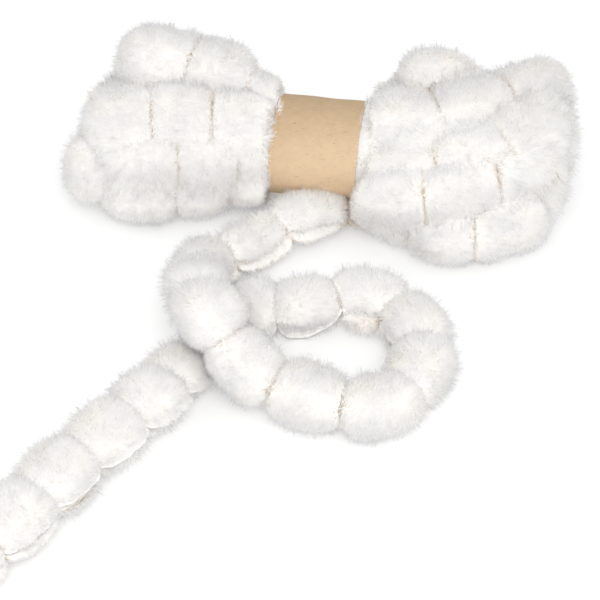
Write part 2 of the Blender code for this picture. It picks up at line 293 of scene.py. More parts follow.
# ---- the loose end's route: middle of each puff, its width and thickness, and how far the lower layer shows ----
looseEnd = {
    "width": 42.0,
    "thick": 34.0,
    "pinchWidth": 0.60,
    "pinchThick": 0.50,
    "fullness": 2.9,
    "skin": 0.76,  # share of the size taken by the backing, the rest is pile
    "diameter": 0.028,
    "pile": 7.4,
    "flap": 0.49,
    "stops": [
        (48, 70, 7, 0.46, 0.42, 0),
        (5, 61.5, 15.5, 0.84, 0.68, 1.50),
        (-29, 37, 12.5, 0.78, 0.68, 1.50),
        (-57, 10, 18, 0.88, 0.86, 1.30),
        (-60, -22, 33, 1.00, 0.92, 0),
        (-51, -57, 44, 1.02, 0.92, 0),
        (-30, -80, 25, 1.00, 0.96, 0),
        (4, -95, 16, 1.08, 1.04, 0),
        (44, -103, 16, 1.02, 1.02, 0),
        (68, -74, 16, 1.00, 1.04, 0),
        (66, -40, 15.5, 0.98, 1.00, 0.2),
        (40, -12, 13.5, 0.90, 0.86, 1.15),
        (2, -20.5, 13.5, 0.96, 0.86, -0.90),
        (-26, -22, 11, 1.22, 0.70, -0.3),
        (-49, -42, 9.5, 0.92, 0.62, 0),
        (-69, -73, 12, 0.98, 0.78, 0),
        (-84, -98, 15.5, 1.04, 1.00, 0),
        (-107, -127, 15.5, 1.08, 1.00, 0.05),
        (-131, -157, 15.5, 1.08, 1.00, 0.15),
        (-151, -188, 15.5, 1.06, 1.00, 0.45),
        (-173, -218, 14.5, 0.94, 0.92, 0.5),
    ],
}
# Half sections of the folded strip, once round from the fold: (towards the open edge, up).
foldedSection = [
    (-1.00, 0.00),
    (-0.93, 0.45),
    (-0.68, 0.84),
    (-0.22, 1.00),
    (0.30, 0.93),
    (0.72, 0.68),
    (0.92, 0.40),
    (0.92, 0.30),
    (0.84, 0.22),
    (0.55, 0.08),
    (0.50, 0.00),
    (0.55, -0.08),
    (0.84, -0.22),
    (0.92, -0.30),
    (0.92, -0.40),
    (0.72, -0.68),
    (0.30, -0.93),
    (-0.22, -1.00),
    (-0.68, -0.84),
    (-0.93, -0.45),
]


def throughStops(table, place):
    """A smooth curve through the rows of a table, read at places 0, 1, 2 and between."""
    table = np.asarray(table, float)
    low = np.clip(np.floor(place).astype(int), 0, len(table) - 2)
    t = (place - low)[:, None]
    a, b = table[np.maximum(low - 1, 0)], table[low]
    c, d = table[low + 1], table[np.minimum(low + 2, len(table) - 1)]
    return 0.5 * (2 * b + (c - a) * t + (2 * a - 5 * b + 4 * c - d) * t**2 + (3 * b - a - 3 * c + d) * t**3)


def looseFrames(place):
    """Middle, axes and half sizes of the loose end at each place, a stop apart, with a pinch half-way between."""
    last = len(looseEnd["stops"]) - 1.0
    at = np.clip(place, 0.0, last)
    row = throughStops(looseEnd["stops"], at)
    ahead = throughStops(looseEnd["stops"], np.minimum(at + 0.12, last))
    behind = throughStops(looseEnd["stops"], np.maximum(at - 0.12, 0.0))
    along = unit(ahead[:, :3] - behind[:, :3])
    up = np.array([0.0, 0.0, 1.0]) - along * along[:, 2:3]
    up = unit(up)
    across = np.cross(along, up)
    local = 2.0 * (at - np.round(at))
    wide = looseEnd["width"] / 2 * row[:, 3] * swell(local, looseEnd["pinchWidth"], looseEnd["fullness"])
    deep = looseEnd["thick"] / 2 * row[:, 4] * swell(local, looseEnd["pinchThick"], looseEnd["fullness"])
    return row[:, :3] + along * (place - at)[:, None] * 30.0, along, across, up, wide, deep, row[:, 5], local


def closedSection(sides):
    """The folded section as evenly read points, once round."""
    table = np.array(foldedSection + foldedSection[:1], float)
    step = np.concatenate([[0], np.cumsum(np.linalg.norm(np.diff(table, axis=0), axis=1))])
    at = np.linspace(0, step[-1], sides, endpoint=False)
    return np.stack([np.interp(at, step, table[:, k]) for k in range(2)], axis=1)


def looseRings(place, section, share):
    """Rings of the loose end at these places: the section, scaled, with the lower layer reaching past the upper one."""
    middle, along, across, up, wide, deep, under, local = looseFrames(place)
    reach = section[None, :, 0] * wide[:, None] * share
    lower = (section[:, 0] > 0.5) & (section[:, 1] < 0)
    reach = np.where(lower[None, :], reach * (1.0 + 0.38 * under[:, None]), reach)
    rise = section[None, :, 1] * deep[:, None] * share
    out = up[:, None, :] * rise[..., None] - across[:, None, :] * reach[..., None]
    centre = np.broadcast_to(middle[:, None, :], out.shape)
    return onFloor(centre, out * uneven(centre + out)), local


def alongPlaces(stops, steps):
    """Places from -1 to 1 round each stop, closer together near the pinches, joined end to end."""
    local = np.sin(np.linspace(-math.pi / 2, math.pi / 2, steps + 1))[:-1] * 0.5
    return np.concatenate([stop + local for stop in range(stops)] + [[stops - 0.5]])


def looseClosed(steps, sides, share):
    """All the rings of the loose end, with both ends rounded shut."""
    count = len(looseEnd["stops"])
    place = np.clip(alongPlaces(count, steps), 0.0, count - 1.0)
    place = np.unique(place)
    points, local = looseRings(place, closedSection(sides), share)
    return points, local, place


pile = acrylicPile()
backing = knittedBacking()

looseSkin, looseLocal, loosePlace = looseClosed(14, 40, looseEnd["skin"])
looseSection = closedSection(looseSkin.shape[1])
looseOutside = ~((looseSection[:, 0] > 0.45) & (np.abs(looseSection[:, 1]) < 0.5))
# Gather and painted shade: browner towards each pinch, none in the open groove.
looseGatherShade = np.clip((np.abs(looseLocal) - 0.72) / 0.28, 0, 1)[:, None] * looseOutside
looseBacking = skinObject("loose_backing", [looseSkin], backing, [looseGatherShade])
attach(looseBacking, "root")
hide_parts("loose_end")


def flapProfile(place, side, steps):
    """Outer face of one flap at these places, from inside the groove to its cut edge: it leaves the fold level and
    flares a little, and its edge runs in waves and draws in at each pinch."""
    middle, along, across, up, wide, deep, under, local = looseFrames(place)
    share = np.linspace(0.0, 1.0, steps)[None, :]
    droop = np.maximum(-under, 0.0)[:, None] * deep[:, None] * share**2 * 0.9 if side > 0 else 0.0
    ripple = 0.5 * np.sin(place * 21.0 + side) + 0.35 * np.sin(place * 47.0 + 2 * side)
    pucker = smoothStep(np.abs(local), 0.75, 1.0)[:, None] * np.sin(place * 130.0)[:, None] * 0.5
    length = looseEnd["flap"] * (1.0 - 0.55 * np.clip(np.abs(under), 0, 1)) * (1.0 if side > 0 else 0.6)
    reach = wide[:, None] * (0.42 + length[:, None] * share) + ripple[:, None] * share
    height = side * (deep[:, None] * (0.34 - 0.30 * share**1.5) + 0.5 * share) + (ripple[:, None] * 0.6 + pucker) * share - droop
    out = up[:, None, :] * height[..., None] - across[:, None, :] * reach[..., None]
    centre = np.broadcast_to(middle[:, None, :], out.shape)
    return onFloor(centre, out, 1.4), up, local


def flapRings(side):
    """One flap as closed rings: the outer face, a rolled edge a little thicker than the cloth, and the inner face."""
    place = np.unique(np.clip(alongPlaces(len(looseEnd["stops"]), 22), 0.0, len(looseEnd["stops"]) - 1.0))
    outer, up, _ = flapProfile(place, side, 9)
    thick = np.array([0.5] * 6 + [0.5, 0.6, 0.4])
    inner = outer - up[:, None, :] * (side * thick[None, :, None])
    inner[..., 2] = np.maximum(inner[..., 2], 0.5)
    edge = 2 * outer[:, -1] - outer[:, -2]
    edge = outer[:, -1] * 0.75 + edge * 0.25 - up * side * 0.4
    return np.concatenate([outer, edge[:, None, :], inner[:, ::-1]], axis=1)


# Cut edge of the knit: bright white, a little fuzzy.
flapLook = {"cloth": "#F4F0EA", "edge": "#FFFEFC"}


def cutKnit():
    made, tree, shader, out = newMaterial("cut_knit_edge")
    place = addNode(tree, "ShaderNodeTexCoord").outputs["Object"]
    grain = addNode(tree, "ShaderNodeTexNoise", links={"Vector": place, "Scale": 900.0, "Detail": 2.0})
    colour = addRamp(tree, grain.outputs["Fac"], [(0.25, flapLook["cloth"]), (0.6, flapLook["edge"])])
    tree.links.new(colour, shader.inputs["Base Color"])
    shader.inputs["Roughness"].default_value = 0.9
    bump = addNode(tree, "ShaderNodeBump", links={"Height": grain.outputs["Fac"], "Strength": 0.5, "Distance": 0.0004})
    tree.links.new(bump.outputs["Normal"], shader.inputs["Normal"])
    return made


looseFlaps = skinObject("loose_flaps", [flapRings(1), flapRings(-1)], cutKnit())
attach(looseFlaps, "root")
looseLine = toFrame(looseFrames(np.linspace(0.0, len(looseEnd["stops"]) - 1.0, 241))[0])
looseLength = float(np.linalg.norm(np.diff(looseLine, axis=0), axis=1).sum())
print("loose end", round(looseLength, 3), "m")

# ---- the hank's puffs: x, y, z, size, 1 on a turn, length ----
hank = {
    "width": 42.0,
    "thick": 34.0,
    "pinchWidth": 0.86,
    "pinchThick": 0.76,
    "fullness": 4.6,
    "roundness": 0.66,  # 1 is an oval section, less is squarer, as pressed between its neighbours
    "bandLeft": 30.0,  # how near the band's middle the fur's roots come on either side, along its axis
    "bandRight": 34.5,
    "overlap": 1.5,
    "skin": 0.80,
    "leftLobe": (-88.0, 116.0, 38.0),
    "rightLobe": (104.0, 95.0, 38.0),
    "waist": (12.0, 106.0, 31.5),
    "waistTurn": -9.0,
    "waistDeep": 33.0,
    "waistHigh": 26.5,
    "strands": [
        [
            (-99, 166, 36, 0.92, 1, 34),
            (-87, 148.5, 64.5, 1.35, 0, 40),
            (-48, 139, 62, 1.20, 0, 40),
            (-25, 128, 53, 0.88, 0, 26),
            (48, 130, 42, 0.80, 0, 39),
            (86, 137, 62, 1.02, 0, 36),
            (124, 139, 22, 0.86, 0, 36),
        ],
        [
            (-106, 98, 54, 1.04, 0, 39),
            (-73, 99.5, 57, 1.08, 0, 39),
            (-34, 96, 54, 1.06, 0, 38),
            (61, 102, 54, 1.16, 0, 39),
            (102, 107, 57, 1.22, 0, 39),
            (143, 134, 52, 1.20, 0, 39),
        ],
        [
            (-128, 89, 29, 0.98, 1, 29),
            (-93, 81, 40, 0.86, 0, 39),
            (-54, 82, 40.5, 0.86, 0, 39),
            (-28, 84, 41, 0.72, 0, 24),
            (61, 71, 40, 0.86, 0, 39),
            (101, 67, 50, 1.00, 0, 39),
            (141, 92, 51, 1.10, 0, 39),
            (156, 103, 33, 0.82, 1, 34),
        ],
        [
            (-95, 79, 17, 1.02, 0, 39),
            (-60, 84, 17, 1.00, 0, 39),
            (-30, 84, 21, 0.92, 0, 26),
            (55, 52, 31, 1.00, 0, 42),
            (95, 52, 42, 0.92, 0, 42),
            (134, 71, 40, 0.92, 0, 39),
            (147, 74, 27, 0.80, 1, 30),
        ],
        [
            (-100, 110, 15, 0.95, 0, 39),
            (-62, 110, 15, 0.95, 0, 39),
            (54, 68, 15, 0.80, 0, 39),
            (86, 41, 15, 0.98, 0, 39),
            (124, 49, 17, 1.04, 0, 39),
        ],
        [
            (-104, 142, 15, 0.95, 0, 39),
            (-65, 138, 15, 0.95, 0, 39),
            (-33, 122, 19, 0.80, 0, 28),
            (56, 92, 15, 0.85, 0, 39),
            (92, 78, 15, 0.95, 0, 39),
            (128, 86, 15, 0.92, 0, 39),
        ],
        [
            (-88, 166, 15, 0.95, 0, 39),
            (-52, 156, 15, 0.95, 0, 39),
            (53, 120, 15, 0.85, 0, 39),
            (90, 116, 15, 0.95, 0, 39),
            (128, 120, 15, 0.95, 0, 39),
        ],
        [
            (-112, 144, 28, 0.88, 1, 34),
            (-118, 118, 34, 0.92, 1, 34),
            (-102, 127, 44, 0.92, 0, 39),
            (-66, 126, 48, 0.98, 0, 39),
            (-35, 117, 46, 0.86, 0, 32),
            (64, 124, 44, 0.88, 0, 39),
            (106, 130, 44, 0.94, 0, 39),
            (141, 113, 47, 1.00, 0, 39),
        ],
        [
            (-68, 163, 40, 0.92, 0, 39),
            (-34, 145, 36, 0.85, 0, 32),
            (60, 136, 24, 0.85, 0, 39),
            (98, 146, 27, 0.95, 0, 39),
            (136, 140, 25, 0.92, 0, 39),
            (157, 130, 30, 0.78, 1, 39),
        ],
    ],
}
# Ovals of the squeezed middle and its flare into both lobes: x, y, z, half depth, half height.
waistOvals = [
    (-118, 122, 34, 26, 18),
    (-96, 118, 36, 42, 27),
    (-58, 116, 36, 42, 27),
    (-30, 110, 33, 33, 25),
    (-16, 110.2, 31.5, 33, 26.5),
    (38, 101.8, 31.5, 33, 26.5),
    (54, 100, 34, 36, 26),
    (84, 94, 37, 44, 28),
    (122, 94, 37, 42, 27),
    (148, 100, 34, 28, 18),
]


def puffFrames():
    """Middle, axes and half sizes of every puff. It runs along its strand and faces away from its lobe's middle."""
    found = []
    for strand in hank["strands"]:
        rows = np.array(strand, float)
        for index, (x, y, z, size, turned, long) in enumerate(rows):
            after = min(index + 1, len(rows) - 1)
            before = max(index - 1, 0)
            if not turned:
                after = index if rows[after, 4] else after
                before = index if rows[before, 4] and after != index else before
            along = rows[after, :3] - rows[before, :3]
            lobe = hank["leftLobe"] if x < hank["waist"][0] else hank["rightLobe"]
            out = np.array([0.0, (y - lobe[1]) * 0.75, (z - lobe[2]) * 1.6])
            if turned:
                along = np.array([0.0, 0.45, 1.0])
                out = np.array([x - lobe[0], (y - lobe[1]) * 0.3, (z - lobe[2]) * 0.3])
            along = unit(along)
            up = unit(out - along * (out @ along))
            across = np.cross(along, up)
            sizes = np.array([long / 2 + hank["overlap"], hank["width"] / 2 * size, hank["thick"] / 2 * size])
            found.append((np.array([x, y, z]), np.stack([along, across, up]), sizes))
    return found


def strandSeams():
    """For every puff, the places of the gathers at its start and its end, half-way to the next puff of its strand, or
    None where that end is free."""
    found = []
    number = 0
    for strand in hank["strands"]:
        for index in range(number, number + len(strand)):
            seams = []
            for side, other in ((-1, index - 1), (1, index + 1)):
                seam = None
                if number <= other < number + len(strand):
                    here = puffs[index][0] + puffs[index][1][0] * puffs[index][2][0] * side
                    there = puffs[other][0] - puffs[other][1][0] * puffs[other][2][0] * side
                    if np.linalg.norm(here - there) < 16:
                        seam = (here + there) / 2
                seams.append(seam)
            found.append(seams)
        number += len(strand)
    return found


puffs = puffFrames()
puffSeams = strandSeams()


def sharedAxes(one, other):
    """Axes of the gather between two puffs: half-way between their own."""
    along = unit(puffs[one][1][0] + puffs[other][1][0])
    up = puffs[one][1][2] + puffs[other][1][2]
    up = unit(up - along * (up @ along))
    return np.stack([along, np.cross(along, up), up])


def puffEnds(number):
    """For both ends of a puff: its side, -1 or 1, its gather's place or None, and the gather's axes."""
    found = []
    for side, seam in zip((-1, 1), puffSeams[number]):
        found.append((side, seam, None if seam is None else sharedAxes(number, number + side)))
    return found


def bandPlace(points):
    """Place along the band's own axis, and the share of its ring that a point is out at."""
    turn = math.radians(hank["waistTurn"])
    x, y, z = (points - np.array(hank["waist"])).T
    along = x * math.cos(turn) + y * math.sin(turn)
    across = -x * math.sin(turn) + y * math.cos(turn)
    ring = (np.abs(across / 34.3) ** 2.08 + np.abs(z / 27.8) ** 2.08) ** (1 / 2.08)
    return along, ring


def bandLimit(along, ring):
    """How near the band's middle a puff may come there: low puffs come nearer on the right than high ones."""
    return np.where(along < 0, hank["bandLeft"], hank["bandRight"] - 5.0 * smoothStep(ring, 1.15, 1.45))


def besideBand(points, middle):
    """Points of a puff that would stand in the paper, moved along to the band's edge on the puff's own side."""
    along, ring = bandPlace(points.reshape(-1, 3))
    side = -1.0 if middle[0] < hank["waist"][0] else 1.0
    least = bandLimit(side, ring)
    short = np.where((ring > 0.93) & (side * along < least), least - side * along, 0.0)
    turn = math.radians(hank["waistTurn"])
    axis = np.array([math.cos(turn), math.sin(turn), 0.0]) * side
    return points + (short[:, None] * axis).reshape(points.shape)


def puffRings(number, steps, sides, share):
    """Rings of one puff: rounded boxes, swelling from a pinch to the middle and back. An end at a pinch is rounded
    shut just past it, and a free end all the way from the middle."""
    middle, axes, sizes = puffs[number]
    inner = np.sin(np.linspace(-math.pi / 2, math.pi / 2, steps))
    local = np.concatenate([[-1.13, -1.11, -1.06], inner, [1.06, 1.11, 1.13]])
    angle = np.arange(sides) * 2 * math.pi / sides
    sideways = np.sign(np.cos(angle)) * np.abs(np.cos(angle)) ** hank["roundness"]
    upwards = np.sign(np.sin(angle)) * np.abs(np.sin(angle)) ** hank["roundness"]
    wide = swell(local, hank["pinchWidth"], hank["fullness"])
    thick = swell(local, hank["pinchThick"], hank["fullness"])
    round_ = np.clip(1.0 - (np.abs(local) / 1.13) ** 2.7, 0.0004, 1.0) ** 0.5
    line = middle + axes[0] * (local * sizes[0])[:, None]
    across = np.broadcast_to(axes[1], line.shape)
    up = np.broadcast_to(axes[2], line.shape)
    for side, seam, shared in puffEnds(number):
        if seam is None:
            wide = np.where(local * side > 0, round_, wide)
            thick = np.where(local * side > 0, round_, thick)
        else:
            shift = seam - middle - axes[0] * sizes[0] * side
            line = line + shift * smoothStep(local * side, 0.1, 1.0)[:, None]
            bent = smoothStep(local * side, 0.2, 1.0)[:, None]
            across = across * (1 - bent) + shared[1] * bent
            up = up * (1 - bent) + shared[2] * bent
    wide = wide * sizes[1] * share
    thick = thick * sizes[2] * share
    reach = across[:, None, :] * (sideways[None, :] * wide[:, None])[..., None]
    reach = reach + up[:, None, :] * (upwards[None, :] * thick[:, None])[..., None]
    centre = np.broadcast_to(line[:, None, :], reach.shape)
    return besideBand(onFloor(centre, reach * uneven(centre + reach)), middle), local


def coreRings(steps, sides, share):
    """Rings of the hank's inside: upright ovals read smoothly along it."""
    place = np.linspace(0, len(waistOvals) - 1, steps)
    rows = throughStops(waistOvals, place)
    angle = np.arange(sides) * 2 * math.pi / sides
    points = np.empty((steps, sides, 3))
    points[..., 0] = rows[:, None, 0]
    points[..., 1] = rows[:, None, 1] + np.cos(angle) * rows[:, None, 3] * share
    points[..., 2] = rows[:, None, 2] + np.sin(angle) * rows[:, None, 4] * share
    return points


# ---- which fur is buried in a neighbour ----


def puffRadius(points, number):
    """How far out a point is in a puff, as a share of its size: under 1 is inside it."""
    middle, axes, sizes = puffs[number]
    straight = points - middle
    at = straight @ axes[0] / sizes[0]
    offset = straight
    for side, seam, _ in puffEnds(number):
        if seam is not None:
            shift = seam - middle - axes[0] * sizes[0] * side
            offset = offset - shift * smoothStep(at * side, 0.1, 1.0)[:, None]
    local = offset @ axes.T
    for side, seam, shared in puffEnds(number):
        if seam is not None:
            bent = smoothStep(at * side, 0.2, 1.0)[:, None]
            local = local * (1 - bent) + ((points - seam) @ shared.T + [side * sizes[0], 0, 0]) * bent
    along = local[:, 0] / sizes[0]
    wide = np.abs(local[:, 1]) / (sizes[1] * swell(np.clip(along, -1, 1), hank["pinchWidth"], hank["fullness"]))
    thick = np.abs(local[:, 2]) / (sizes[2] * swell(np.clip(along, -1, 1), hank["pinchThick"], hank["fullness"]))
    power = 2.0 / hank["roundness"]
    return np.maximum((wide**power + thick**power) ** (1 / power), np.abs(along) ** 3)


def crowd(points, owner):
    """The smallest such share over all other puffs, 9 where none is near."""
    least = np.full(len(points), 9.0)
    for index, puff in enumerate(puffs):
        near = np.flatnonzero((np.abs(points - puff[0]).max(axis=1) < 36) & (owner != index))
        if len(near):
            least[near] = np.minimum(least[near], puffRadius(points[near], index))
    along, ring = bandPlace(points)
    return np.where((ring > 0.93) & (np.abs(along) < bandLimit(along, ring)), 9.0, least)


def coreShare(points):
    """The same for the hank's inside."""
    rows = np.array(waistOvals, float)
    centre = [np.interp(points[:, 0], rows[:, 0], rows[:, k]) for k in (1, 2, 3, 4)]
    share = np.hypot((points[:, 1] - centre[0]) / centre[2], (points[:, 2] - centre[1]) / centre[3])
    return np.where((points[:, 0] > rows[0, 0]) & (points[:, 0] < rows[-1, 0]), share, 9.0)


looseFine = np.linspace(0.0, len(looseEnd["stops"]) - 1.0, 321)
looseFineFrames = looseFrames(looseFine)


def looseShare(points, owner=None):
    """How far out a point is in the loose end, as a share of its size. owner skips its own stretch, by place."""
    least = np.full(len(points), 9.0)
    middle, along, across, up, wide, deep, under, local = looseFineFrames
    for index in range(0, len(looseFine), 2):
        near = np.abs(points - middle[index]).max(axis=1) < 34
        if owner is not None:
            near &= np.abs(owner - looseFine[index]) > 2.2
        near = np.flatnonzero(near)
        if not len(near):
            continue
        offset = points[near] - middle[index]
        ahead = np.abs(offset @ along[index])
        flat = np.hypot((offset @ across[index]) / wide[index], (offset @ up[index]) / deep[index])
        least[near] = np.minimum(least[near], np.where(ahead < 3.0, flat, 9.0))
    return least


# ---- fur ----
fur = {
    "perMm2": 4.3,
    "length": 6.8,  # mm, from the backing to the tip
    "width": 0.56,  # mm at the root, a lock of fibres
    "lean": 57.0,  # degrees from upright
    "leanSpread": 7.0,
    "clumpSize": 4.2,
    "clumpPull": 0.90,
    "guards": 0.09,  # share of blades that stand up more and make the outline spiky
    "guardRise": 26.0,
    "guardLength": 0.24,
    "pieceMost": 190000,
}


def spreadRoots(rings, perMm2, rng):
    """Seeded places all over closed rings, as many to a square millimetre: their points, normals and ring numbers."""
    normals = ringNormals(rings)
    nextRing = np.roll(rings, -1, axis=1)
    a, b, c, d = rings[:-1], nextRing[:-1], nextRing[1:], rings[1:]
    area = 0.5 * np.linalg.norm(np.cross(c - a, d - b), axis=-1).ravel()
    total = np.cumsum(area)
    count = int(total[-1] * perMm2)
    cell = np.minimum(np.searchsorted(total, rng.uniform(0, total[-1], count)), len(area) - 1)
    row, column = np.divmod(cell, rings.shape[1])
    after = (column + 1) % rings.shape[1]
    s, t = rng.uniform(0, 1, (2, count, 1))

    def read(values):
        low = values[row, column] * (1 - t) + values[row, after] * t
        high = values[row + 1, column] * (1 - t) + values[row + 1, after] * t
        return low * (1 - s) + high * s

    return read(rings), unit(read(normals)), row + s[:, 0], column + t[:, 0]


def growFur(name, roots, normals, facing, comb, lengths, shadeTones, shy, rng, material):
    """Tapered blades on the roots: each leans by soft random fields, and its tip is drawn to its clump's.
    A blade is one thin triangle, wide at the root. It takes the smooth normals in facing, so the coat shades as one."""
    count = len(roots)
    slow = waves(roots, 36.0, 11)[1]
    quick = waves(roots, 9.0, 12)[1]
    flow = slow * 1.2 + quick * 0.35 + rng.normal(size=(count, 3)) * 0.25 + np.array([0.0, 0.0, -0.22]) + comb
    flow = unit(flow - normals * (flow * normals).sum(axis=1, keepdims=True))
    tuft = waves(roots, 5.0, 15)[0]
    guard = (rng.uniform(size=count) < fur["guards"] * 2) & (tuft > 0.05)
    lean = rng.normal(fur["lean"], fur["leanSpread"], count) * (0.55 + 0.45 * shy) - guard * fur["guardRise"]
    lean = np.radians(np.clip(lean, 8, 78))[:, None]
    lengths = lengths * (1.0 + fur["guardLength"] * guard)
    direction = normals * np.cos(lean) + flow * np.sin(lean)
    tips = roots + direction * lengths[:, None]
    pull = waves(roots, fur["clumpSize"], 13, 9)[1] * fur["clumpPull"] * 3.0
    pull -= normals * (pull * normals).sum(axis=1, keepdims=True)
    tips += pull * shy[:, None]
    tips[:, 2] = np.maximum(tips[:, 2], 0.4)
    direction = unit(tips - roots)
    side = unit(np.cross(normals, direction))
    twist = rng.normal(0.0, 0.25, count)[:, None]
    side = side * np.cos(twist) + np.cross(direction, side) * np.sin(twist)
    half = side * (fur["width"] / 2 * rng.uniform(0.7, 1.3, (count, 1)))
    points = np.stack([roots - half, roots + half, tips], axis=1)
    faceNormal = np.cross(points[:, 1] - points[:, 0], points[:, 2] - points[:, 0])
    wrong = (faceNormal * normals).sum(axis=1) < 0
    points[wrong] = points[wrong][:, [1, 0, 2]]
    lumps = waves(roots, 15.0, 14)[1]
    shade = unit(facing + rng.normal(size=(count, 3)) * 0.07 + pull * 0.03 + lumps * 0.10)
    tipShade = unit(shade + direction * 0.25)
    shading = np.stack([shade, shade, tipShade], axis=1)
    high = np.clip(shadeTones * 0.85, 0.03, 0.85)
    # Guard hairs' tips take the dark painted outline shade.
    highTip = np.where(guard, 0.97, high)
    uv = np.stack([
        np.stack([np.full(count, 0.02), high - 0.006], axis=1),
        np.stack([np.full(count, 0.02), high + 0.006], axis=1),
        np.stack([np.full(count, 0.98), highTip], axis=1),
    ], axis=1)
    made = []
    pieces = max(1, math.ceil(count / fur["pieceMost"]))
    for number, chosen in enumerate(np.array_split(np.arange(count), pieces)):
        mesh = bpy.data.meshes.new(f"{name}_{number + 1}")
        total = len(chosen)
        mesh.vertices.add(total * 3)
        mesh.loops.add(total * 3)
        mesh.polygons.add(total)
        mesh.vertices.foreach_set("co", toFrame(points[chosen]).astype(np.float32).ravel())
        mesh.loops.foreach_set("vertex_index", np.arange(total * 3, dtype=np.int32))
        mesh.polygons.foreach_set("loop_start", np.arange(0, total * 3, 3, dtype=np.int32))
        mesh.polygons.foreach_set("use_smooth", np.ones(total, bool))
        mesh.update(calc_edges=True)
        layer = mesh.uv_layers.new(name="OFBake")
        layer.uv.foreach_set("vector", uv[chosen].astype(np.float32).ravel())
        given = mesh.attributes.new("custom_normal", "FLOAT_VECTOR", "POINT")
        given.data.foreach_set("vector", shading[chosen].astype(np.float32).ravel())
        mesh.materials.append(material)
        obj = bpy.data.objects.new(f"{name}_{number + 1}", mesh)
        bpy.context.scene.collection.objects.link(obj)
        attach(obj, "root")
        made.append(obj)
    print(name, count, "blades in", pieces, "pieces")
    return made


def coatShadeTones(openness, seam, rng):
    """Tone of each blade, which picks its colour: a painted highlight where it crowds a neighbour in a crease, and
    painted shade in a gather, most where a gather meets a neighbour; there the beige is partly the backing's own.
    """
    shadeTones = 1.0 - 0.55 * (1 - openness) * (1 - seam) - seam * (0.80 + 0.15 * (1 - openness))
    return np.clip(shadeTones + rng.normal(0, 0.05, len(seam)), 0, 1)


def hankFur(rng):
    """Roots on every puff and on the hank's inside, without those buried in a neighbour, the band or the loose end."""
    roots, normals, owners, edges, ends = [], [], [], [], []
    for index, puff in enumerate(puffs):
        rings, local = puffRings(index, 25, 48, hank["skin"])
        place, normal, row, _ = spreadRoots(rings, fur["perMm2"], rng)
        roots.append(place)
        normals.append(normal)
        owners.append(np.full(len(place), index))
        signed = np.interp(row, np.arange(len(local)), local)
        free = np.where(signed < 0, *(seam is None for seam in puffSeams[index]))
        edges.append(np.where(free, 0.0, np.abs(signed)))
        ends.append(np.sign(signed)[:, None] * puff[1][0])
    place, normal, _, _ = spreadRoots(coreRings(60, 64, 0.97), fur["perMm2"], rng)
    roots.append(place)
    normals.append(normal)
    owners.append(np.full(len(place), -1))
    edges.append(np.zeros(len(place)))
    ends.append(np.zeros((len(place), 3)))
    roots, normals, owners, edges, ends = (np.concatenate(v) for v in (roots, normals, owners, edges, ends))
    around = crowd(roots, owners)
    inside = np.where(owners >= 0, coreShare(roots), 9.0)
    bandAlong, bandRing = bandPlace(roots)
    keep = (around > hank["skin"] - 0.02) & (inside > 0.9) & (looseShare(roots) > 0.92)
    keep &= ~((np.abs(bandAlong) < 26.0) & (bandRing < 1.05))
    keep &= ~((roots[:, 2] < 1.5) & (normals[:, 2] < -0.3) & (rng.uniform(size=len(roots)) < 0.7))
    keep &= edges < 0.99
    roots, normals, edges, ends, around = roots[keep], normals[keep], edges[keep], ends[keep], around[keep]
    open_ = smoothStep(around, 0.86, 1.18)
    seam = smoothStep(edges, 0.94, 0.985) * (edges < 1.001)
    parting = smoothStep(edges, 0.62, 0.97) * (edges < 1.001)
    # Painted light: crowded blades in creases take the painted highlight, blades in a gather the painted shade.
    shadeTones = coatShadeTones(open_, seam, rng)
    nearBand = smoothStep(np.abs(bandPlace(roots)[0]), 46.0, 36.0)
    lengths = fur["length"] * (1.50 - 0.50 * open_) * (1 - 0.25 * parting) * (1 - 0.35 * nearBand)
    lengths = lengths * rng.uniform(0.84, 1.08, len(roots))
    lobe = np.where(roots[:, :1] < hank["waist"][0], hank["leftLobe"], hank["rightLobe"])
    reach = (roots - lobe) * np.array([0.5, 1.0, 1.3])
    reach[:, 2] *= np.where(reach[:, 2] < 0, 0.45, 1.0)
    reach[:, 0] *= np.where(reach[:, 0] * (lobe[:, 0] - hank["waist"][0]) > 0, 1.0, 0.15)
    outward = unit(reach)
    upright = np.array([0.0, 0.0, 1.0]) * (0.14 + 0.8 * np.clip(-normals[:, 2:3], 0, 1))
    facing = unit(normals + outward * (0.2 + 1.5 * (1 - open_))[:, None] + upright)
    normals = unit(normals + outward * (1.7 * (1 - open_) * (1 - 0.6 * seam))[:, None])
    comb = -0.5 * parting[:, None] * ends
    shy = 0.4 + 0.6 * open_
    return growFur("hank_fur", roots, normals, facing, comb, lengths, shadeTones, shy, rng, pile)


def flapFur(side, rng):
    """Roots on the outer face of a flap, short and combed back from its cut edge."""
    count = int(2 * looseLength * 1000 * 9 * fur["perMm2"] / 2)
    place = rng.uniform(0.2, len(looseEnd["stops"]) - 1.0, count)
    share = rng.uniform(0.35, 0.96, count)
    found, up, local = flapProfile(place, side, 21)
    cell = share * 20
    low = cell.astype(int)
    part = (cell - low)[:, None]
    row = np.arange(count)
    roots = found[row, low] * (1 - part) + found[row, low + 1] * part
    inward = unit(found[row, 6] - found[row, 18])
    normals = unit(np.cross(looseFrames(place)[1], found[row, low + 1] - found[row, low]))
    normals *= np.sign((normals * (up * side - inward)).sum(axis=1))[:, None]
    around = np.minimum(looseShare(roots, place), crowd(roots, np.full(count, -1)))
    keep = (around > 0.8) & (np.abs(local) < 0.95) & ~((side < 0) & (roots[:, 2] < 2.5))
    along = looseFrames(place)[1] * np.sign(local)[:, None]
    lengths = 5.6 - 4.0 * smoothStep(share, 0.45, 0.95) * np.where((place > 13.4) & (place < 16.6), 0.2, 1.0)
    return tuple(v[keep] for v in (roots, normals, np.abs(local), along, around, lengths, inward * -0.8, place))


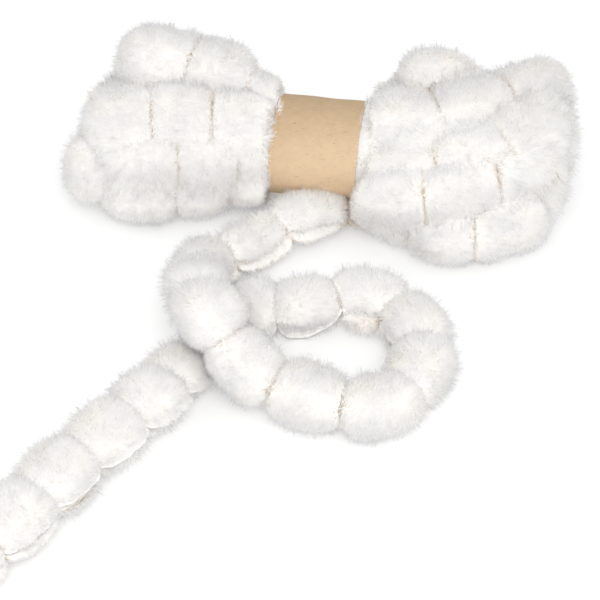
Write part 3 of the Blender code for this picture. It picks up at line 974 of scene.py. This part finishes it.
def looseFur(rng):
    """Roots on the loose end, without those in its open edge, under a crossing or in the hank."""
    rings, local, place = looseClosed(24, 72, looseEnd["skin"])
    roots, normals, row, column = spreadRoots(rings, fur["perMm2"], rng)
    at = np.interp(row, np.arange(len(place)), place)
    signed = np.interp(row, np.arange(len(local)), local)
    edges = np.abs(signed)
    ends = np.sign(signed)[:, None] * looseFrames(at)[1]
    section = closedSection(rings.shape[1])
    sideways = np.interp(column, np.arange(len(section) + 1), np.append(section[:, 0], section[0, 0]))
    upwards = np.interp(column, np.arange(len(section) + 1), np.append(section[:, 1], section[0, 1]))
    under = looseFrames(at)[6]
    shelf = (under > 0.3) & (upwards < 0) & (sideways > 0.45)
    groove = (sideways > 0.45) & (np.abs(upwards) < 0.36) & ~(shelf & (sideways > 0.70))
    around = np.minimum(looseShare(roots, at), crowd(roots, np.full(len(roots), -1)))
    keep = ~groove & (around > looseEnd["skin"] - 0.02) & (edges < 0.985)
    keep &= ~((roots[:, 2] < 1.5) & (normals[:, 2] < -0.3) & (rng.uniform(size=len(roots)) < 0.7))
    # Painted shade on the lower layer's fur under the upper flap, deepest round stop 11.
    shaded = np.abs(at - 11) < 0.6
    lengths = looseEnd["pile"] * np.where(shelf, np.where(shaded, 1.3, 0.5), 1.0)
    lower = np.where(shelf, np.clip(under, 0, 1.5) * np.where(shaded, 0.6, 0.15), 0.0)
    roots, normals, edges, ends, around, at, lengths, lower = (
        v[keep] for v in (roots, normals, edges, ends, around, at, lengths, lower)
    )
    comb = np.zeros((len(roots), 3))
    for extra in (flapFur(1, rng), flapFur(-1, rng)):
        roots, normals, edges, ends, around, lengths, comb, at = (
            np.concatenate(pair) for pair in zip((roots, normals, edges, ends, around, lengths, comb, at), extra)
        )
    open_ = smoothStep(around, 0.86, 1.18)
    seam = smoothStep(edges, 0.90, 0.99) * 0.8
    parting = smoothStep(edges, 0.60, 0.98)
    comb -= 0.6 * parting[:, None] * ends
    shade = np.zeros(len(at))
    shade[: len(lower)] = lower
    # Painted shade: on the tail past stop 13.4 where it runs under the crossing, on the lower layer, and in the hollow
    # under the band at the start.
    shadeTones = coatShadeTones(np.ones(len(at)), seam, rng) - 0.8 * (1 - open_) * (at > 13.4) - shade - 0.7 * (at < 0.62)
    lengths = lengths * (0.75 + 0.25 * open_) * (1 - 0.38 * parting) * rng.uniform(0.84, 1.08, len(roots))
    facing = unit(normals + np.array([0.0, 0.0, 1.0]) * (0.35 * np.clip(-normals[:, 2:3], 0, 1)))
    shy = 0.4 + 0.6 * open_
    return growFur("loose_fur", roots, normals, facing, comb, lengths, shadeTones, shy, rng, pile)


hankGrids, hankGatherShade = [], []
for number in range(len(puffs)):
    rings, local = puffRings(number, 13, 28, hank["skin"])
    hankGrids.append(rings)
    # Gather and painted shade: browner towards each pinch, half way on the hank's inside.
    hankGatherShade.append(np.clip((np.abs(local) - 0.72) / 0.28, 0, 1)[:, None] * np.ones(rings.shape[1]))
hankGrids.append(coreRings(24, 32, 0.97))
hankGatherShade.append(np.full(hankGrids[-1].shape[:2], 0.5))
hankBacking = skinObject("hank_backing", hankGrids, backing, hankGatherShade)
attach(hankBacking, "root")
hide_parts("hank")
print("backings made")



def seamRings(middle, axes, wide, thick, sides=36):
    """A stitched gather: a thin cord of gathered backing round the pinch, its radius rippling 11 times a turn."""
    angle = np.arange(sides) * 2 * math.pi / sides
    ripple = 1.0 + 0.02 * np.sin(angle * 11 + middle[0])
    sideways = np.sign(np.cos(angle)) * np.abs(np.cos(angle)) ** hank["roundness"] * ripple
    upwards = np.sign(np.sin(angle)) * np.abs(np.sin(angle)) ** hank["roundness"] * ripple
    centre = middle + axes[1] * (sideways * wide)[:, None] + axes[2] * (upwards * thick)[:, None]
    out = unit(centre - middle)
    turn = np.arange(6) * 2 * math.pi / 6
    rings = centre[:, None, :] + 0.32 * (out[:, None, :] * np.cos(turn)[None, :, None] + axes[0] * np.sin(turn)[None, :, None] * 1.6)
    rings[..., 2] = np.maximum(rings[..., 2], 0.6)
    return rings


def loopObject(name, loops, material):
    """One object from closed tubes, each (places, sides, 3) in millimetres and joined end to end."""
    points, faces, start = [], [], 0
    for rings in loops:
        rows, columns = rings.shape[:2]
        low = np.arange(rows)[:, None] * columns + np.arange(columns)[None, :] + start
        following = np.roll(low, -1, axis=1)
        faces.append(np.stack([low, following, np.roll(following, -1, axis=0), np.roll(low, -1, axis=0)], axis=-1).reshape(-1, 4))
        points.append(rings.reshape(-1, 3))
        start += rows * columns
    mesh = bpy.data.meshes.new(name)
    mesh.from_pydata(toFrame(np.concatenate(points)).tolist(), [], np.concatenate(faces).tolist())
    mesh.polygons.foreach_set("use_smooth", np.ones(len(mesh.polygons), bool))
    mesh.materials.append(material)
    mesh.update()
    made = bpy.data.objects.new(name, mesh)
    bpy.context.scene.collection.objects.link(made)
    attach(made, "root")
    return made


# Gathering stitches: ecru polyester tape, matt.
def stitchedTape():
    made, tree, shader, out = newMaterial("ecru_gathering_tape")
    place = addNode(tree, "ShaderNodeTexCoord").outputs["Object"]
    cloud = addNode(tree, "ShaderNodeTexNoise", links={"Vector": place, "Scale": 500.0, "Detail": 2.0})
    colour = addRamp(tree, cloud.outputs["Fac"], [(0.3, "#B5A89A"), (0.7, "#D0C7BC")])
    tree.links.new(colour, shader.inputs["Base Color"])
    shader.inputs["Roughness"].default_value = 0.8
    return made


tape = stitchedTape()
tapeShare = 0.85


def hankTapes():
    """A tape at each gather where one puff runs on into the next."""
    found = []
    for index, seams in enumerate(puffSeams):
        if seams[1] is not None:
            sizes = (puffs[index][2] + puffs[index + 1][2]) / 2 * tapeShare
            wide, thick = sizes[1] * hank["pinchWidth"], sizes[2] * hank["pinchThick"]
            found.append(seamRings(seams[1], sharedAxes(index, index + 1), wide, thick))
    return found


def looseTape(place):
    middle, along, across, up, wide, deep, under, local = (v[0] for v in looseFrames(np.array([place])))
    return seamRings(middle, np.stack([along, across, up]), wide * tapeShare, deep * tapeShare)


loopObject("hank_tapes", hankTapes(), tape)
looseTapes = loopObject("loose_tapes", [looseTape(n + 0.5) for n in range(1, len(looseEnd["stops"]) - 1)], tape)

hankCoat = hankFur(np.random.default_rng(5))
looseCoat = looseFur(np.random.default_rng(6))

# ---- kraft paper band ----
paperBand = {"long": 54.0, "wall": 0.5, "gap": 0.65}


# Kraft paper: unbleached brown pulp, dull, with darker and lighter fibres a millimetre or so long. Its colour has
# painted shade: lighter at the front and darker over its top and back, where the band turns away from the light.
paperLook = {"front": "#E0C4A2", "middle": "#C5AB8B", "back": "#AD9576", "fleckDark": "#8A6C4E", "fleckLight": "#D2BA9C"}


def kraftPaper():
    made, tree, shader, out = newMaterial("kraft_paper")
    place = addNode(tree, "ShaderNodeTexCoord").outputs["Object"]
    # Painted shade: the colour darkens from the front towards the top and back along this slant.
    lean = addNode(tree, "ShaderNodeVectorMath", {"operation": "DOT_PRODUCT"}, {0: place, 1: (0.0, 0.68, 0.73)})
    height = addNode(tree, "ShaderNodeMapRange", links={"Value": lean.outputs["Value"], "From Min": 0.076, "From Max": 0.144})
    shadedPulp = addRamp(
        tree,
        height.outputs["Result"],
        [(0.0, paperLook["front"]), (0.55, paperLook["middle"]), (1.0, paperLook["back"])],
        smooth=False,
    )
    cloud = addNode(tree, "ShaderNodeTexNoise", links={"Vector": place, "Scale": 170.0, "Detail": 5.0, "Roughness": 0.65})
    wash = addNode(tree, "ShaderNodeMapRange", links={"Value": cloud.outputs["Fac"], "From Min": 0.3, "From Max": 0.7})
    wash.inputs["To Min"].default_value = 0.94
    wash.inputs["To Max"].default_value = 1.05
    tinted = addNode(tree, "ShaderNodeVectorMath", {"operation": "SCALE"}, {0: shadedPulp, "Scale": wash.outputs["Result"]})
    stretched = addNode(tree, "ShaderNodeMapping", links={"Vector": place, "Scale": (260.0, 1400.0, 1400.0)})
    fibres = addNode(tree, "ShaderNodeTexNoise", links={"Vector": stretched.outputs["Vector"], "Scale": 1.0, "Detail": 2.0})
    dark = addNode(tree, "ShaderNodeMapRange", links={"Value": fibres.outputs["Fac"], "From Min": 0.66, "From Max": 0.74})
    light = addNode(tree, "ShaderNodeMapRange", links={"Value": fibres.outputs["Fac"], "From Min": 0.36, "From Max": 0.28})
    dark.inputs["To Max"].default_value = 0.55
    light.inputs["To Max"].default_value = 0.45
    first = addNode(
        tree,
        "ShaderNodeMix",
        {"data_type": "RGBA"},
        {0: dark.outputs["Result"], 6: tinted.outputs["Vector"], 7: toLinear(paperLook["fleckDark"])},
    )
    second = addNode(
        tree,
        "ShaderNodeMix",
        {"data_type": "RGBA"},
        {0: light.outputs["Result"], 6: first.outputs[2], 7: toLinear(paperLook["fleckLight"])},
    )
    tree.links.new(second.outputs[2], shader.inputs["Base Color"])
    shader.inputs["Roughness"].default_value = 0.78
    shader.inputs["Specular IOR Level"].default_value = 0.3
    bump = addNode(tree, "ShaderNodeBump", links={"Height": fibres.outputs["Fac"], "Strength": 0.25, "Distance": 0.0002})
    tree.links.new(bump.outputs["Normal"], shader.inputs["Normal"])
    return made


def bandRings(columns):
    """The band as a closed wall: inner edge, outer skin with soft dents, and back, once round for each column."""
    steps = np.concatenate([np.linspace(-0.5, 0.5, 17), np.linspace(0.5, -0.5, 5)])
    out = np.concatenate([np.full(17, paperBand["gap"] + paperBand["wall"]), np.full(5, paperBand["gap"])])
    angle = np.arange(columns) * 2 * math.pi / columns
    sideways = np.sign(np.cos(angle)) * np.abs(np.cos(angle)) ** 0.96
    upwards = np.sign(np.sin(angle)) * np.abs(np.sin(angle)) ** 0.96
    turn = math.radians(hank["waistTurn"])
    x = np.broadcast_to((steps * paperBand["long"])[:, None], (len(steps), columns))
    dent = 0.35 * np.sin(angle[None, :] * 5 + x * 0.09) * np.sin(x * 0.11 + 1.0)
    y = sideways[None, :] * (hank["waistDeep"] + out[:, None] + dent)
    z = upwards[None, :] * (hank["waistHigh"] + out[:, None] + dent)
    points = np.stack([x * math.cos(turn) - y * math.sin(turn), x * math.sin(turn) + y * math.cos(turn), z], axis=-1)
    return points + np.array(hank["waist"])


def addBand():
    rings = bandRings(160)
    rows, columns = rings.shape[:2]
    low = np.arange(rows)[:, None] * columns + np.arange(columns)[None, :]
    following = np.arange(rows)[:, None] * columns + (np.arange(columns)[None, :] + 1) % columns
    high = np.roll(low, -1, axis=0)
    highFollowing = np.roll(following, -1, axis=0)
    faces = np.stack([low, following, highFollowing, high], axis=-1).reshape(-1, 4)
    mesh = bpy.data.meshes.new("kraft_band")
    mesh.from_pydata(toFrame(rings.reshape(-1, 3)).tolist(), [], faces[:, ::-1].tolist())
    mesh.polygons.foreach_set("use_smooth", np.ones(len(mesh.polygons), bool))
    mesh.materials.append(kraftPaper())
    mesh.update()
    made = bpy.data.objects.new("kraft_band", mesh)
    bpy.context.scene.collection.objects.link(made)
    mesh.set_sharp_from_angle(angle=math.radians(40))
    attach(made, "root")
    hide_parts("paper_band")


addBand()
print("band made")

# ---- floor and light ----
stageLook = {"floor": "#D2D2D2", "world": 0.98, "key": 11.0, "glow": 0.30}


def addFloor():
    mesh = bpy.data.meshes.new("floor")
    mesh.from_pydata([(-4, -4, 0), (4, -4, 0), (4, 4, 0), (-4, 4, 0)], [], [(0, 1, 2, 3)])
    made = bpy.data.objects.new("floor", mesh)
    bpy.context.scene.collection.objects.link(made)
    material, tree, shader, out = newMaterial("matt_white_sweep")
    shader.inputs["Base Color"].default_value = toLinear(stageLook["floor"])
    shader.inputs["Roughness"].default_value = 0.9
    shader.inputs["Specular IOR Level"].default_value = 0.1
    shader.inputs["Emission Color"].default_value = (1.0, 1.0, 1.0, 1.0)
    shader.inputs["Emission Strength"].default_value = stageLook["glow"]
    mesh.materials.append(material)


def addLight(name, place, aim, size, power):
    lamp = bpy.data.lights.new(name, "AREA")
    lamp.shape = "DISK"
    lamp.size = size
    lamp.energy = power
    made = bpy.data.objects.new(name, lamp)
    bpy.context.scene.collection.objects.link(made)
    made.location = place
    away = np.array(place, float) - np.array(aim, float)
    flat = math.hypot(away[0], away[1])
    made.rotation_euler = (math.atan2(flat, away[2]), 0.0, math.atan2(away[0], -away[1]))


def addWorld():
    world = bpy.data.worlds.new("studio")
    bpy.context.scene.world = world
    world.use_nodes = True
    back = world.node_tree.nodes["Background"]
    back.inputs["Color"].default_value = (1.0, 1.0, 1.0, 1.0)
    back.inputs["Strength"].default_value = stageLook["world"]


addFloor()
addWorld()
addLight("key", (0.05, -1.0, 1.25), (0.0, 0.0, 0.0), 0.9, stageLook["key"])
bpy.context.scene.view_settings.view_transform = "Standard"
